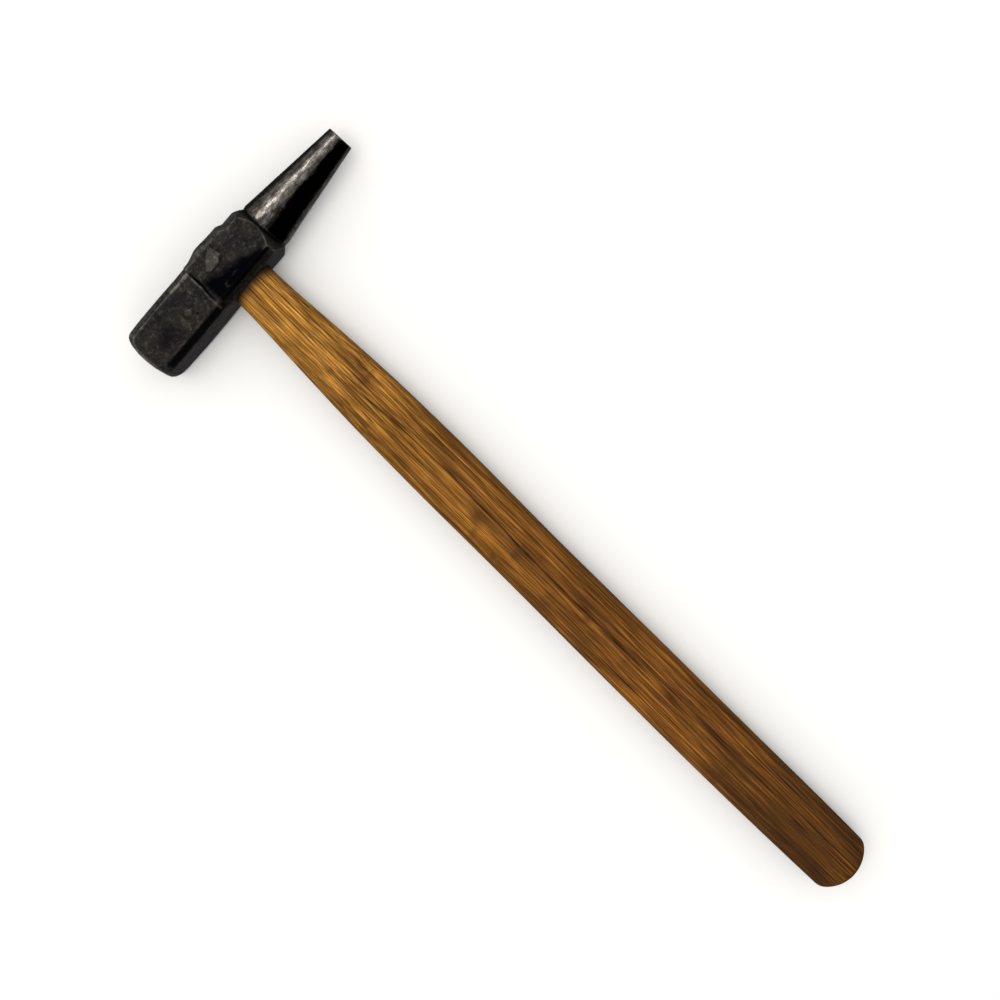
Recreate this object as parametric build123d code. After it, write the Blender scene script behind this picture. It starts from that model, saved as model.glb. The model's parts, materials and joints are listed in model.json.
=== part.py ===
from build123d import *

import os
from math import hypot, radians, sqrt, tan

# A blacksmith's handled round punch: a one-piece forged steel head, struck on its octagonal
# poll and tapering to a flat-ended round punch, wedged on an oval wooden handle.
# Lengths are in millimetres. While it is built, the origin is the centre of the eye:
# +X runs from the poll to the punch, +Y from the butt of the handle to the head, and +Z is
# up, with the hammer lying on its side. The last step moves the origin to the ground.

# Head, along its own axis, measured from the centre of the eye
poll_reach = 56.6           # to the struck face of the poll
step_reach = 14.6           # to the step where the poll ends and the cheeks begin
shoulder_reach = 15.9       # to the corners of the eye block on the punch side
punch_reach = 72.3          # to the flat working end of the punch

# Head, across its axis
poll_across = 25.9          # across the flats of the poll, at its fullest
barrel = 0.4                # how much lower the poll's top and underside are at its ends
poll_corner = 3.4           # leg of the poll's four long chamfers
face_round = 6.4            # radius that dresses the rim of the struck face
cheek_recess = 0.45         # how far the cheeks lie under the poll's flats
belly_corner = 4.3          # leg of the eye block's chamfers on the handle side
crest_corner = 1.6          # leg of the eye block's chamfers on the top side
swell_height = 1.5          # how far the metal stands up around the top of the eye
swell_toe_gap = 1.7         # from the step to where that swelling starts
swell_crest_poll = 4.9      # where it reaches its full height
swell_crest_punch = 7.0     # where it starts to fall, on the punch side
swell_toe_punch = 10.8      # where it has gone
shoulder_angle = 45         # slope of the turned shoulder, from the head's axis
shoulder_fillet = 7.0       # radius between the shoulder and the punch
punch_root_drop = 0.05      # how far the punch's root lies inside the cheeks
punch_end_d = 12.4          # across the flat working end
punch_end_round = 0.6       # rounding of the working end's edge
head_lean = 2.3             # degrees that the punch end is turned away from the handle

# Eye: an oval hole along the handle, parallel below and flared towards the top
eye_length = 20.0           # along the head, on the handle side
eye_width = 14.0            # across the head, on the handle side
eye_flare_length = 0.8      # how much further each end opens at the top
eye_flare_width = 0.9       # how much further each side opens at the top

# Handle: (share of the free length from the head, width, thickness, sideways drift)
handle_length = 372.1       # free length, from the head's underside to the butt
handle_stations = [
    (-0.02, 20.7, 15.4, -0.3),
    (0.036, 21.8, 15.7, -0.3),
    (0.108, 24.9, 16.6, -0.2),
    (0.202, 28.1, 18.4, -0.1),
    (0.296, 29.3, 19.7, -0.2),
    (0.462, 28.9, 20.2, -0.6),
    (0.637, 29.5, 20.8, -0.85),
    (0.784, 29.8, 21.2, -0.85),
    (0.964, 28.7, 20.6, -0.3),
    (1.02, 27.8, 20.0, -0.2),
]
butt_fullness = 1.8         # how much the butt's rounding radius exceeds the half width

# Wedges, driven in from the top of the head
wood_wedge_margin = 1.5     # tenon left beyond each end of it, along the head
wood_wedge_depth = 24.0     # how deep it goes
wood_wedge_thick = 3.2      # at the top
steel_wedge_margin = 2.0    # tenon left beyond each end of them, across the head
steel_wedge_depth = 15.0    # how deep each one goes
steel_wedge_thick = 2.2     # at the top
steel_wedge_gap = 10.0      # between the two, centre to centre
steel_wedge_barb = 0.25     # height of each barb
wedge_edge = 0.6            # thickness left at each wedge's thin end
barbs_per_face = 3
barb_run = 3                # length of each barb, in barb heights

poll_half = poll_across / 2
cheek_half = poll_half - cheek_recess
belly = -(poll_half - barrel / 2)                    # the eye block's face on the handle side
crest = poll_half - barrel / 2                       # its face on the top side, beside the swelling
block_corner = hypot(crest, cheek_half - crest_corner)
punch_root_r = cheek_half - punch_root_drop
shoulder_slope = tan(radians(shoulder_angle))
punch_root = shoulder_reach + (block_corner - punch_root_r) / shoulder_slope
beyond = 30.0                                        # how far cutting forms run past what they cut


def bar_with_chamfers(half_y, half_z, leg_bottom, leg_top, start, end):
    """A bar along X, with its own chamfer legs on the handle side and on the top side."""
    low, high = half_y
    section = Polyline(
        (low, -half_z + leg_bottom),
        (low, half_z - leg_bottom),
        (low + leg_bottom, half_z),
        (high - leg_top, half_z),
        (high, half_z - leg_top),
        (high, -half_z + leg_top),
        (high - leg_top, -half_z),
        (low + leg_bottom, -half_z),
        close=True,
    )
    return extrude(Plane.YZ.offset(start) * make_face(section), end - start)


def poll():
    """The struck end: an octagonal bar, slightly barrelled, its rim dressed round."""
    bar = bar_with_chamfers(
        (-poll_half, poll_half), poll_half, poll_corner, poll_corner, -poll_reach, -step_reach
    )
    middle = -(poll_reach + step_reach) / 2
    end_half = poll_half - barrel
    top = ThreePointArc((-poll_reach, end_half), (middle, poll_half), (-step_reach, end_half))
    bottom = ThreePointArc((-step_reach, -end_half), (middle, -poll_half), (-poll_reach, -end_half))
    outline = [top, Line(top @ 1, bottom @ 0), bottom, Line(bottom @ 1, top @ 0)]
    barrelled = extrude(make_face(outline), poll_half, both=True)
    return bar & barrelled & dressed_face()


def dressed_face():
    """A turned form, flat on the struck face and rounded at its rim."""
    corner = hypot(poll_half, poll_half - poll_corner)
    rim = RadiusArc((-poll_reach, corner - face_round), (-poll_reach + face_round, corner), face_round)
    tail = Polyline(rim @ 1, (0, corner), (0, 0), (-poll_reach, 0), rim @ 0)
    return revolve(make_face([rim, tail]), axis=Axis.X)


def eye_block():
    """The middle of the head, swollen at the top where the metal was drifted open."""
    half_y = (belly, crest + swell_height)
    bar = bar_with_chamfers(half_y, cheek_half, belly_corner, crest_corner, -step_reach, punch_root)
    top = crest + swell_height
    outline = Polyline(
        (-step_reach, belly),
        (punch_root, belly),
        (punch_root, crest),
        (swell_toe_punch, crest),
        (swell_crest_punch, top),
        (-swell_crest_poll, top),
        (swell_toe_gap - step_reach, crest),
        (-step_reach, crest),
        close=True,
    )
    return bar & extrude(make_face(outline), cheek_half, both=True)


def punch():
    """The turned form of the shoulder and the punch, as one profile about the head's axis."""
    outer = block_corner + swell_height
    end = punch_end_d / 2
    profile = Polyline(
        (-step_reach, 0),
        (-step_reach, outer),
        (shoulder_reach - swell_height / shoulder_slope, outer),
        (punch_root, punch_root_r),
        (punch_reach, end),
        (punch_reach, 0),
        close=True,
    )
    face = make_face(profile)
    shoulder = face.vertices().sort_by_distance((punch_root, punch_root_r))[0]
    face = fillet(shoulder, shoulder_fillet)
    rim = face.vertices().sort_by_distance((punch_reach, end))[0]
    face = fillet(rim, punch_end_round)
    return revolve(face, axis=Axis.X)


def head_blank():
    """The whole forging before the eye is opened, leaned as it sits on the handle."""
    turned = punch()
    past_block = Pos(punch_root + punch_reach / 2, 0, 0) * Box(punch_reach, 4 * beyond, 4 * beyond)
    blank = poll() + (eye_block() & turned) + (turned & past_block)
    return Rot(0, 0, head_lean) * blank


def oval(y, width, thickness, drift=0.0):
    """An oval section square to the handle."""
    plane = Plane(origin=(drift, y, 0), x_dir=(1, 0, 0), z_dir=(0, -1, 0))
    return plane * Ellipse(width / 2, thickness / 2)


def eye_form():
    """The eye as a solid: it opens the head, and the handle's tenon fills it exactly."""
    flare_y = crest + swell_height
    parallel = loft([oval(-beyond, eye_length, eye_width), oval(0, eye_length, eye_width)], ruled=True)
    reach = (flare_y + beyond) / flare_y
    top = oval(
        flare_y + beyond,
        eye_length + 2 * eye_flare_length * reach,
        eye_width + 2 * eye_flare_width * reach,
    )
    flared = loft([oval(0, eye_length, eye_width), top], ruled=True)
    return parallel + flared


def grip():
    """The free part of the handle, with its end inside the head still on it."""
    sections = [
        oval(belly - share * handle_length, width, thickness, drift)
        for share, width, thickness, drift in handle_stations
    ]
    return loft(sections) & butt_form()


def butt_form():
    """A turned form around the handle that rounds its butt."""
    radius = max(width for share, width, thickness, drift in handle_stations) / 2 + butt_fullness
    butt_y = belly - handle_length
    start = (radius, beyond)
    shoulder = (radius, butt_y + radius)
    side = Polyline((0, butt_y), (0, beyond), start, shoulder)
    dome = ThreePointArc(shoulder, (radius * sqrt(0.5), butt_y + radius - radius * sqrt(0.5)), (0, butt_y))
    return revolve(make_face([side, dome]), axis=Axis.Y)


def wedge_profile(thick, depth, barb, count):
    """Half of a wedge's outline as (depth below the top, half thickness), barbs included."""
    rise = beyond
    slope = (thick - wedge_edge) / 2 / depth
    points = [(-rise, thick / 2 + slope * rise)]
    for i in range(count):
        below = depth * (i + 1) / (count + 1)
        half = thick / 2 - slope * below
        start = below - barb_run * barb
        points += [(start, thick / 2 - slope * start), (start, half + barb), (below, half)]
    return points + [(depth, wedge_edge / 2)]


def wedge(width, thick, depth, top_y, barb=0.0, count=0):
    """A wedge that spreads along Z, as wide as given along X, thin end down."""
    side = wedge_profile(thick, depth, barb, count)
    outline = [(top_y - below, half) for below, half in side]
    outline += [(top_y - below, -half) for below, half in reversed(side)]
    return extrude(Plane.YZ * make_face(Polyline(*outline, close=True)), width / 2, both=True)


def main():
    os.makedirs("parts", exist_ok=True)
    blank = head_blank()
    opening = eye_form()
    top_y = crest + swell_height

    head = blank - opening
    plug = blank & opening
    wood_width = eye_length - 2 * wood_wedge_margin
    wood_wedge = wedge(wood_width, wood_wedge_thick, wood_wedge_depth, top_y) & blank
    steel_width = eye_width - 2 * steel_wedge_margin
    steel = wedge(
        steel_width, steel_wedge_thick, steel_wedge_depth, top_y, steel_wedge_barb, barbs_per_face
    )
    steel_wedges = [
        (Pos(side * steel_wedge_gap / 2, 0, 0) * Rot(0, 90, 0) * steel) & blank
        for side in (-1, 1)
    ]
    for piece in steel_wedges:
        wood_wedge = wood_wedge - piece
    handle = (grip() - blank) + plug - wood_wedge
    for piece in steel_wedges:
        handle = handle - piece

    pieces = {"hammer_head": head, "handle": handle, "wooden_wedge": wood_wedge}
    for number, piece in enumerate(steel_wedges, start=1):
        pieces[f"steel_wedge_{number}"] = piece

    box = Compound(list(pieces.values())).bounding_box()
    to_ground = Pos(-(box.min.X + box.max.X) / 2, -(box.min.Y + box.max.Y) / 2, -box.min.Z)
    for name, piece in pieces.items():
        export_step(to_ground * piece, f"parts/{name}.step")


main()
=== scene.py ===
"""A blacksmith's handled round punch, lying on its side: a forged steel head on a stained ash handle."""
import json

import bmesh
import bpy
import numpy as np
from mathutils import Matrix, Vector


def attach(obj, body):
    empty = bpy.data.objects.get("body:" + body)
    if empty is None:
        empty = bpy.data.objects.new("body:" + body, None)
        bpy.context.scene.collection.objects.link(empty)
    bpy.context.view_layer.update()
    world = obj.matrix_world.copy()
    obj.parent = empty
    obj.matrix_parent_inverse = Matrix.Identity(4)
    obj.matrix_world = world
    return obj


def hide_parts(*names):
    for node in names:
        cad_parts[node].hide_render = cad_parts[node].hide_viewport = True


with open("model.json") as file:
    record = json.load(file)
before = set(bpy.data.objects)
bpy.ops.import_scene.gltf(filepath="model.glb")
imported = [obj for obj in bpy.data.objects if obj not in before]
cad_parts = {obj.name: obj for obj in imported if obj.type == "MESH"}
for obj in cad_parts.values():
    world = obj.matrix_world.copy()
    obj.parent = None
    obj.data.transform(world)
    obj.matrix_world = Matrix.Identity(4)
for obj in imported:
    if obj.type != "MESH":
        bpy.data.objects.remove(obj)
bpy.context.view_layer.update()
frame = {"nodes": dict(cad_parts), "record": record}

# ---------------------------------------------------------------------------------------------
# The ground that the hammer lies on: a matt white board. It touches the poll's lower flat and
# the underside of the butt, so it drops very slightly from the butt towards the head.
# ---------------------------------------------------------------------------------------------
MM = 0.001                      # one millimetre, in metres
butt_low = 2.6                  # mm, the butt's underside above the poll's lower flat
poll_edge_y = 174.0             # mm, the poll's lower edge on the handle side
butt_rest_y = -186.0            # mm, where the butt touches the board
board_half = 15000.0            # mm


def linear(hex_colour):
    """An sRGB colour such as "8a6a3c" as linear red, green, blue and alpha."""
    srgb = np.array([int(hex_colour[i:i + 2], 16) for i in (0, 2, 4)]) / 255
    plain = np.where(srgb <= 0.04045, srgb / 12.92, ((srgb + 0.055) / 1.055) ** 2.4)
    return (*plain.tolist(), 1.0)


def add(tree, kind, inputs=None, stops=None, **settings):
    """Adds one node: its settings, a ramp's stops, and each input as a value or a socket to link."""
    node = tree.nodes.new("ShaderNode" + kind)
    for name, value in settings.items():
        setattr(node, name, value)
    if stops:
        elements = node.color_ramp.elements
        while len(elements) > 1:
            elements.remove(elements[-1])
        elements[0].position, elements[0].color = stops[0]
        for position, colour in stops[1:]:
            elements.new(position).color = colour
    for name, value in (inputs or {}).items():
        if isinstance(value, bpy.types.NodeSocket):
            tree.links.new(value, node.inputs[name])
        else:
            node.inputs[name].default_value = value
    return node


def new_material(name):
    """An empty material with one shader, as (material, its node tree, the shader)."""
    material = bpy.data.materials.new(name)
    material.use_nodes = True
    tree = material.node_tree
    return material, tree, tree.nodes["Principled BSDF"]


def skin(name, points, faces):
    """A mesh object from points in mm and faces, in the part's own frame."""
    mesh = bpy.data.meshes.new(name)
    mesh.from_pydata((np.asarray(points) * MM).tolist(), [], faces)
    mesh.update()
    piece = bpy.data.objects.new(name, mesh)
    bpy.context.scene.collection.objects.link(piece)
    return piece


slope = butt_low / (poll_edge_y - butt_rest_y)
corners = np.array([(-1, -1), (1, -1), (1, 1), (-1, 1)]) * board_half
heights = slope * (poll_edge_y - corners[:, 1])
board = skin("white_board", np.column_stack([corners, heights]), [(0, 1, 2, 3)])
# Matt paint put on with a roller: even and without shine, so the eye finds only a soft shadow.
board_paint, tree, shader = new_material("matt_white_paint_rolled")
shader.inputs["Base Color"].default_value = linear("f4f4f3")
shader.inputs["Roughness"].default_value = 0.9
shader.inputs["Specular IOR Level"].default_value = 0.1
board.data.materials.append(board_paint)
board.visible_glossy = False
board.visible_diffuse = False

# ---------------------------------------------------------------------------------------------
# The studio: a big soft box and a white tent light the hammer. Shiny steel sees a grey ceiling, a
# small lamp over the head's top side, and a black card on the handle's side, which is how such a
# tool is lit to keep it dark. Beside the card, steel sees a plain room.
# ---------------------------------------------------------------------------------------------
scene = bpy.context.scene
scene.view_settings.view_transform = "Standard"
world = bpy.data.worlds.new("white_tent")
scene.world = world
world.use_nodes = True
tree = world.node_tree
tree.nodes.clear()
direction = add(tree, "TexCoord").outputs["Generated"]
axes = add(tree, "SeparateXYZ", {"Vector": direction})


def along_axis(axis, levels):
    """Grey levels between -1 and 1 along one axis of the direction looked in."""
    share = add(tree, "MapRange", {"Value": axes.outputs[axis], "From Min": -1.0}).outputs[0]
    stops = [((where + 1) / 2, (level, level, level, 1)) for where, level in levels]
    return add(tree, "ValToRGB", {"Fac": share}, stops=stops).outputs["Color"]


ceiling = along_axis("Z", [(-0.3, 0.02), (-0.1, 0.11), (0.08, 0.24), (0.5, 0.42), (0.8, 0.62), (1.0, 0.62)])
cards = along_axis("Y", [(-0.26, 0.0), (-0.10, 0.42), (0.15, 0.68), (0.45, 1.0)])
ground = along_axis("Z", [(-1.0, 0.22), (-0.9, 0.15), (-0.6, 0.10), (-0.4, 0.0)])
ground_side = along_axis("Y", [(0.25, 1.0), (0.6, 0.15)])
ground = add(
    tree, "Mix", {0: 1.0, 6: ground, 7: ground_side}, data_type="RGBA", blend_type="MULTIPLY"
).outputs[2]
card_half = 0.33                # half width of the black card, as a share of its distance
card_blend = 0.25               # how softly its edge gives way to the room
lamp_edge, lamp_core = 0.975, 0.9985    # cosines of the angles where the lamp begins and is full
lamp_strength = 3.3
lamp_direction = np.array([0.02, 0.585, 0.81])
lamp_direction /= np.linalg.norm(lamp_direction)
towards_lamp = add(
    tree, "VectorMath", {0: direction, 1: lamp_direction}, operation="DOT_PRODUCT"
).outputs["Value"]
glow = add(
    tree, "MapRange", {"Value": towards_lamp, 1: lamp_edge, 2: lamp_core, 4: lamp_strength},
    interpolation_type="SMOOTHSTEP",
).outputs[0]
seen = add(tree, "Mix", {0: 1.0, 6: ceiling, 7: cards}, data_type="RGBA", blend_type="MULTIPLY").outputs[2]
seen = add(tree, "Mix", {0: 1.0, 6: seen, 7: ground}, data_type="RGBA", blend_type="ADD").outputs[2]
seen = add(tree, "Mix", {0: 1.0, 6: seen, 7: glow}, data_type="RGBA", blend_type="ADD").outputs[2]
room = along_axis("Z", [(-1.0, 0.16), (-0.4, 0.22), (0.0, 0.36), (0.4, 0.62), (1.0, 0.7)])
sideways = add(tree, "Math", {0: axes.outputs["X"]}, operation="ABSOLUTE").outputs[0]
beside_card = add(
    tree, "MapRange", {"Value": sideways, 1: card_half, 2: card_half + card_blend},
    interpolation_type="SMOOTHSTEP",
).outputs[0]
seen = add(tree, "Mix", {0: beside_card, 6: seen, 7: room}, data_type="RGBA").outputs[2]
shiny_view = add(tree, "Background", {"Color": seen}).outputs[0]
dome = along_axis("Z", [(-0.1, 0.22), (0.02, 0.62), (0.6, 1.0), (1.0, 1.05)])
soft_view = add(tree, "Background", {"Color": dome}).outputs[0]
backdrop = add(tree, "Background", {"Color": linear("ececea")}).outputs[0]
ray = add(tree, "LightPath")
tent = add(tree, "MixShader", {0: ray.outputs["Is Glossy Ray"], 1: soft_view, 2: shiny_view}).outputs[0]
tent = add(tree, "MixShader", {0: ray.outputs["Is Camera Ray"], 1: tent, 2: backdrop}).outputs[0]
add(tree, "OutputWorld", {"Surface": tent})

box_direction = np.array([-0.06, 0.14, 0.98])
box_direction /= np.linalg.norm(box_direction)
box_distance = 1.6              # m
soft_box = bpy.data.lights.new("soft_box", "AREA")
soft_box.size = 0.9             # m
soft_box.energy = 7.0           # W
soft_box.color = linear("fff8ee")[:3]
lamp = bpy.data.objects.new("soft_box", soft_box)
scene.collection.objects.link(lamp)
lamp.location = Vector(box_direction * box_distance)
lamp.rotation_euler = Vector(box_direction).to_track_quat("Z", "Y").to_euler()
lamp.visible_camera = False
lamp.visible_glossy = False

# The camera hangs over the middle of the hammer, a little towards the punch, and is rolled so
# that the handle runs down to the right.
aim = Vector((0.0006, 0.0283, 0.01295))
camera_distance = 0.574         # m
towards_camera = Vector((0.120, 0.009, 1.0)).normalized()
handle_slant = np.radians(44.6)
handle_way = Vector((0.0, -1.0, 0.0))
handle_way = (handle_way - handle_way.dot(towards_camera) * towards_camera).normalized()
beside = towards_camera.cross(handle_way)
right = np.cos(handle_slant) * handle_way + np.sin(handle_slant) * beside
upward = towards_camera.cross(right)
camera = bpy.data.objects.new("camera", bpy.data.cameras.new("camera"))
scene.collection.objects.link(camera)
camera.data.sensor_width = 36.0
camera.data.lens = 46.8
camera.data.clip_start = 0.02
turn = Matrix((right, upward, towards_camera)).transposed()
camera.matrix_world = Matrix.Translation(aim + towards_camera * camera_distance) @ turn.to_4x4()
scene.camera = camera

# ---------------------------------------------------------------------------------------------
# The head: one bar of tool steel, forged to an octagonal poll, a swollen eye and a long round
# punch whose shoulder is turned. Its skin is black oxide scale, rubbed bright on the edges, and its
# colour also carries painted highlight and painted shade. It is wedged on the handle, and everything
# below is measured along its axis from the eye.
# ---------------------------------------------------------------------------------------------
poll_reach = 56.6               # mm, to the struck face
step_x = -14.8                  # mm, the step between the poll and the cheeks
shoulder_x = 15.9               # mm, the eye block's corners on the punch side
punch_reach = 72.3              # mm, to the working end
poll_half = 12.95               # mm, from the axis to each flat of the poll
barrel = 0.4                    # mm, how much the poll's top and underside fall at their ends
poll_corner = 3.4               # mm, leg of the poll's long chamfers
cheek_half = 12.5               # mm, from the axis to each cheek
crest = 12.75                   # mm, to the eye block's top side and underside
swell = 1.5                     # mm, how far the top stands up around the eye
swell_x = [-12.9, -4.9, 7.0, 10.8]      # mm, where that starts, is full, starts to fall and is gone
eye_half_long, eye_half_wide = 10.0, 7.0    # mm, half the eye along the head and across it
flare_long, flare_wide = 0.8, 0.9       # mm, how much further each way it opens at the top
punch_root = 19.6               # mm, where the shoulder meets the punch
punch_root_r = 12.42            # mm
shoulder_soft = 0.9             # mm, the hollow where they meet
punch_end_r = 6.2               # mm
face_round = 6.4                # mm, radius that dresses the struck face's rim
face_crown = 0.22               # mm, height of that face's crown
edge_power = 75.0               # how crisp the edges between flats are
far_outside = 60.0              # mm, a limit that never binds


def mount_point(name):
    """Where a mount of the record lies, in mm."""
    return np.array(next(m["pos_m"] for m in frame["record"]["mounts"] if m["name"] == name)) / MM


def ease(value, start, end):
    """0 before start and 1 after end, with a smooth step between them."""
    share = np.clip((value - start) / (end - start), 0, 1)
    return share * share * (3 - 2 * share)


def noise(points, size, seed):
    """Smooth noise from -1 to 1: random values at the corners of cells of that size in mm, blended
    by a smooth step in each direction."""
    cells = points / np.asarray(size, float) + 1000.5
    corner = np.floor(cells).astype(np.int64)
    share = cells - corner
    share = share * share * (3 - 2 * share)
    total = np.zeros(points.shape[:-1])
    for offset in np.ndindex(2, 2, 2):
        mixed = (corner + offset) @ np.array([73856093, 19349663, 83492791]) + seed * 2654435761
        mixed = (mixed ^ (mixed >> 13)) * 1274126177 & 0x7FFFFFFFFFFF
        value = ((mixed ^ (mixed >> 17)) & 0xFFFF) / 32767.5 - 1
        total += np.prod(np.where(offset, share, 1 - share), axis=-1) * value
    return total


def plate(u, v, corners, edge):
    """1 inside a convex outline given clockwise, falling to 0 over the edge's width: the nearest
    side decides."""
    corners = np.array(corners, float)
    sides = np.roll(corners, -1, axis=0) - corners
    outwards = np.column_stack([-sides[:, 1], sides[:, 0]])
    outwards /= np.linalg.norm(outwards, axis=1, keepdims=True)
    reach = np.full(u.shape, -1e9)
    for corner, out in zip(corners, outwards):
        reach = np.maximum(reach, (u - corner[0]) * out[0] + (v - corner[1]) * out[1])
    return 1 - ease(reach, -edge / 2, edge / 2)


def patch(u, v, length, width, turn, edge):
    """1 inside an oval of those half axes, turned by degrees, falling to 0 over the edge's width."""
    c, s = np.cos(np.radians(turn)), np.sin(np.radians(turn))
    reach = np.hypot((u * c + v * s) / length, (v * c - u * s) / width)
    return 1 - ease((reach - 1) * min(length, width), -edge / 2, edge / 2)


def head_section(x, angle):
    """Distance from the head's axis to its skin at x along it, at an angle turned from the upper
    cheek towards the top side. Each flat, chamfer and turned stretch is a limit on that distance,
    and the limits are blended by a high power sum, which rounds the edges between them. Returns
    the distance and how near the point is to an edge, from 0 to 1."""
    up, side = np.cos(angle), np.sin(angle)
    bent = x + 0.9 * ease(-poll_half * side / np.maximum(np.abs(up), 0.5), -1.0, 6.0)
    in_block = ease(bent, step_x - 0.7, step_x - 0.05)
    half_up = poll_half + (cheek_half - poll_half) * in_block
    middle = (step_x - poll_reach) / 2
    bulge = barrel * ((x - middle) / (step_x - middle)) ** 2
    side_half = poll_half - bulge + (crest - poll_half + bulge) * in_block
    top = side_half + swell * ease(x, *swell_x[:2]) * (1 - ease(x, *swell_x[2:]))
    top_leg = 3.5 - 0.7 * ease(x, -22.0, -16.0)
    top_leg = top_leg + (1.7 + 1.9 * ease(x, -6.0, 4.0) - top_leg) * in_block
    bottom_leg = poll_corner + 0.4 * in_block
    corner = np.hypot(poll_half, poll_half - poll_corner)
    rim = np.clip(face_round - (x + poll_reach), 0, face_round)
    turned = corner - face_round + np.sqrt(np.maximum(face_round**2 - rim**2, 1e-6))
    turned = np.where(x < face_round - poll_reach, turned, far_outside)
    cone = punch_root_r + (punch_end_r - punch_root_r) * (x - punch_root) / (punch_reach - punch_root)
    bevel = np.hypot(crest, cheek_half - 1.9) - (x - shoulder_x)
    hollow = (cone + bevel) / 2 + np.hypot((cone - bevel) / 2, shoulder_soft / 2)
    hollow = hollow - 0.5 * np.exp(-(((x - punch_root - 1.4) / 1.1) ** 2))
    turned = np.where(x > shoulder_x - 4, hollow, turned)
    diagonal = np.sqrt(0.5)
    limits = [
        half_up / np.maximum(np.abs(up), 1e-3),
        top / np.maximum(side, 1e-3),
        side_half / np.maximum(-side, 1e-3),
        (top + half_up - top_leg) * diagonal / np.maximum((side + np.abs(up)) * diagonal, 1e-3),
        (side_half + half_up - bottom_leg) * diagonal / np.maximum((np.abs(up) - side) * diagonal, 1e-3),
        turned + 0 * angle,
    ]
    limits = np.stack(np.broadcast_arrays(*limits))
    nearest = limits.min(0)
    blended = nearest * np.sum((nearest / limits) ** edge_power, axis=0) ** (-1 / edge_power)
    edge = np.log2(nearest / blended) * edge_power
    return blended, np.clip(edge, 0, 1)


def closed_tube(rings):
    """Points and outward faces of rings joined in turn round their columns, each end closed by one
    point in the middle of its ring."""
    rows, columns = rings.shape[:2]
    points = np.concatenate([rings.reshape(-1, 3), rings[:1].mean(1), rings[-1:].mean(1)])
    first = (np.arange(rows - 1)[:, None] * columns + np.arange(columns)).ravel()
    after = (np.arange(rows - 1)[:, None] * columns + (np.arange(columns) + 1) % columns).ravel()
    quads = np.column_stack([first, after, after + columns, first + columns])
    around = np.arange(columns)
    following = (around + 1) % columns
    start, end = rows * columns, rows * columns + 1
    last = (rows - 1) * columns
    fans = [(start, b, a) for a, b in zip(around.tolist(), following.tolist())]
    fans += [(end, last + a, last + b) for a, b in zip(around.tolist(), following.tolist())]
    middle = rings.reshape(-1, 3).mean(0)
    one, two, three = (points[quads[:, i]] - middle for i in range(3))
    faces = quads.tolist() + fans
    if np.einsum("ij,ij->", one, np.cross(two, three)) < 0:
        faces = [face[::-1] for face in faces]
    return points, faces


def cut_away(piece, tool):
    """Takes the tool's volume out of a piece, and removes the tool."""
    modifier = piece.modifiers.new("cut", "BOOLEAN")
    modifier.object = tool
    modifier.solver = "EXACT"
    view = bpy.context.evaluated_depsgraph_get()
    result = bpy.data.meshes.new_from_object(piece.evaluated_get(view))
    piece.modifiers.clear()
    piece.data = result
    bpy.data.objects.remove(tool)


def shade(piece, angle):
    """Smooth shading, with the edges sharper than that many degrees left crisp."""
    piece.data.shade_smooth()
    piece.data.set_sharp_from_angle(angle=np.radians(angle))


def eye_rings(levels, grow=0.0, columns=144):
    """Rings of the oval eye at those heights along the handle: parallel below the middle, flared
    towards the top, and grown all round by an amount in mm."""
    levels = np.asarray(levels, float)[:, None]
    angle = np.linspace(0, 2 * np.pi, columns, endpoint=False)[None, :]
    flare = np.maximum(levels, 0) / (crest + swell)
    half_long = eye_half_long + flare_long * flare + grow
    half_wide = eye_half_wide + flare_wide * flare + grow
    x = half_long * np.cos(angle)
    z = half_wide * np.sin(angle)
    return np.stack(np.broadcast_arrays(x, levels + 0 * x, z), axis=-1)


poll_point, tip_point = mount_point("poll_face"), mount_point("punch_tip")
along = (tip_point - poll_point) / np.linalg.norm(tip_point - poll_point)
upwards = np.array([0.0, 0.0, 1.0])
across = np.cross(upwards, along)
eye = poll_point + along * poll_reach

columns = 320
angle = np.linspace(0, 2 * np.pi, columns, endpoint=False)[None, :]
angle = angle + 0.04 * np.sin(4 * angle)    # closer together across the chamfers
face_x = face_crown - poll_reach
x = np.concatenate([
    face_x + np.geomspace(0.012, 6.6, 26),
    np.arange(face_x + 7.1, step_x - 1.0, 0.5),
    np.arange(step_x - 0.8, step_x + 1.4, 0.14),
    np.arange(step_x + 1.7, shoulder_x - 1.0, 0.5),
    np.arange(shoulder_x - 0.8, shoulder_x + 8.0, 0.3),
    np.arange(shoulder_x + 8.5, punch_reach - 1.2, 0.72),
    [punch_reach - 0.62],
])
body_r, edge = head_section(x[:, None], angle)

# The struck face is closed by shrinking rings that rise to its crown, and the working end by a
# small rounded rim and shrinking rings.
face_shares = np.linspace(0.05, 1, 14)[:-1, None]
face_x_rows = -poll_reach + face_crown * face_shares**2
face_r = face_shares * body_r[:1]
rim_turn = np.linspace(0.15, 1, 6)[:, None] * np.pi / 2
rim_round = 0.6
tip_plane = punch_reach - 0.03
end_body = body_r[-1:]
rim_x = tip_plane - rim_round + rim_round * np.sin(rim_turn)
rim_r = end_body - rim_round * (1 - np.cos(rim_turn))
tip_shares = np.linspace(1, 0.06, 10)[1:, None]
tip_x = tip_plane + 0 * tip_shares
tip_r = tip_shares * rim_r[-1:]
x_all = np.concatenate([rows + 0 * angle for rows in (face_x_rows, x[:, None], rim_x, tip_x)])
r_all = np.concatenate([face_r, body_r, rim_r, tip_r])
body_x = x[:, None] + 0 * angle
zeros = np.zeros((1, columns))
face_zeros = zeros.repeat(len(face_shares), 0)
rim_zeros = zeros.repeat(len(rim_turn), 0)
tip_zeros = zeros.repeat(len(tip_shares), 0)
edge_all = np.concatenate([face_zeros, edge, 0.8 * np.sin(2 * rim_turn) + zeros, tip_zeros])
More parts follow.
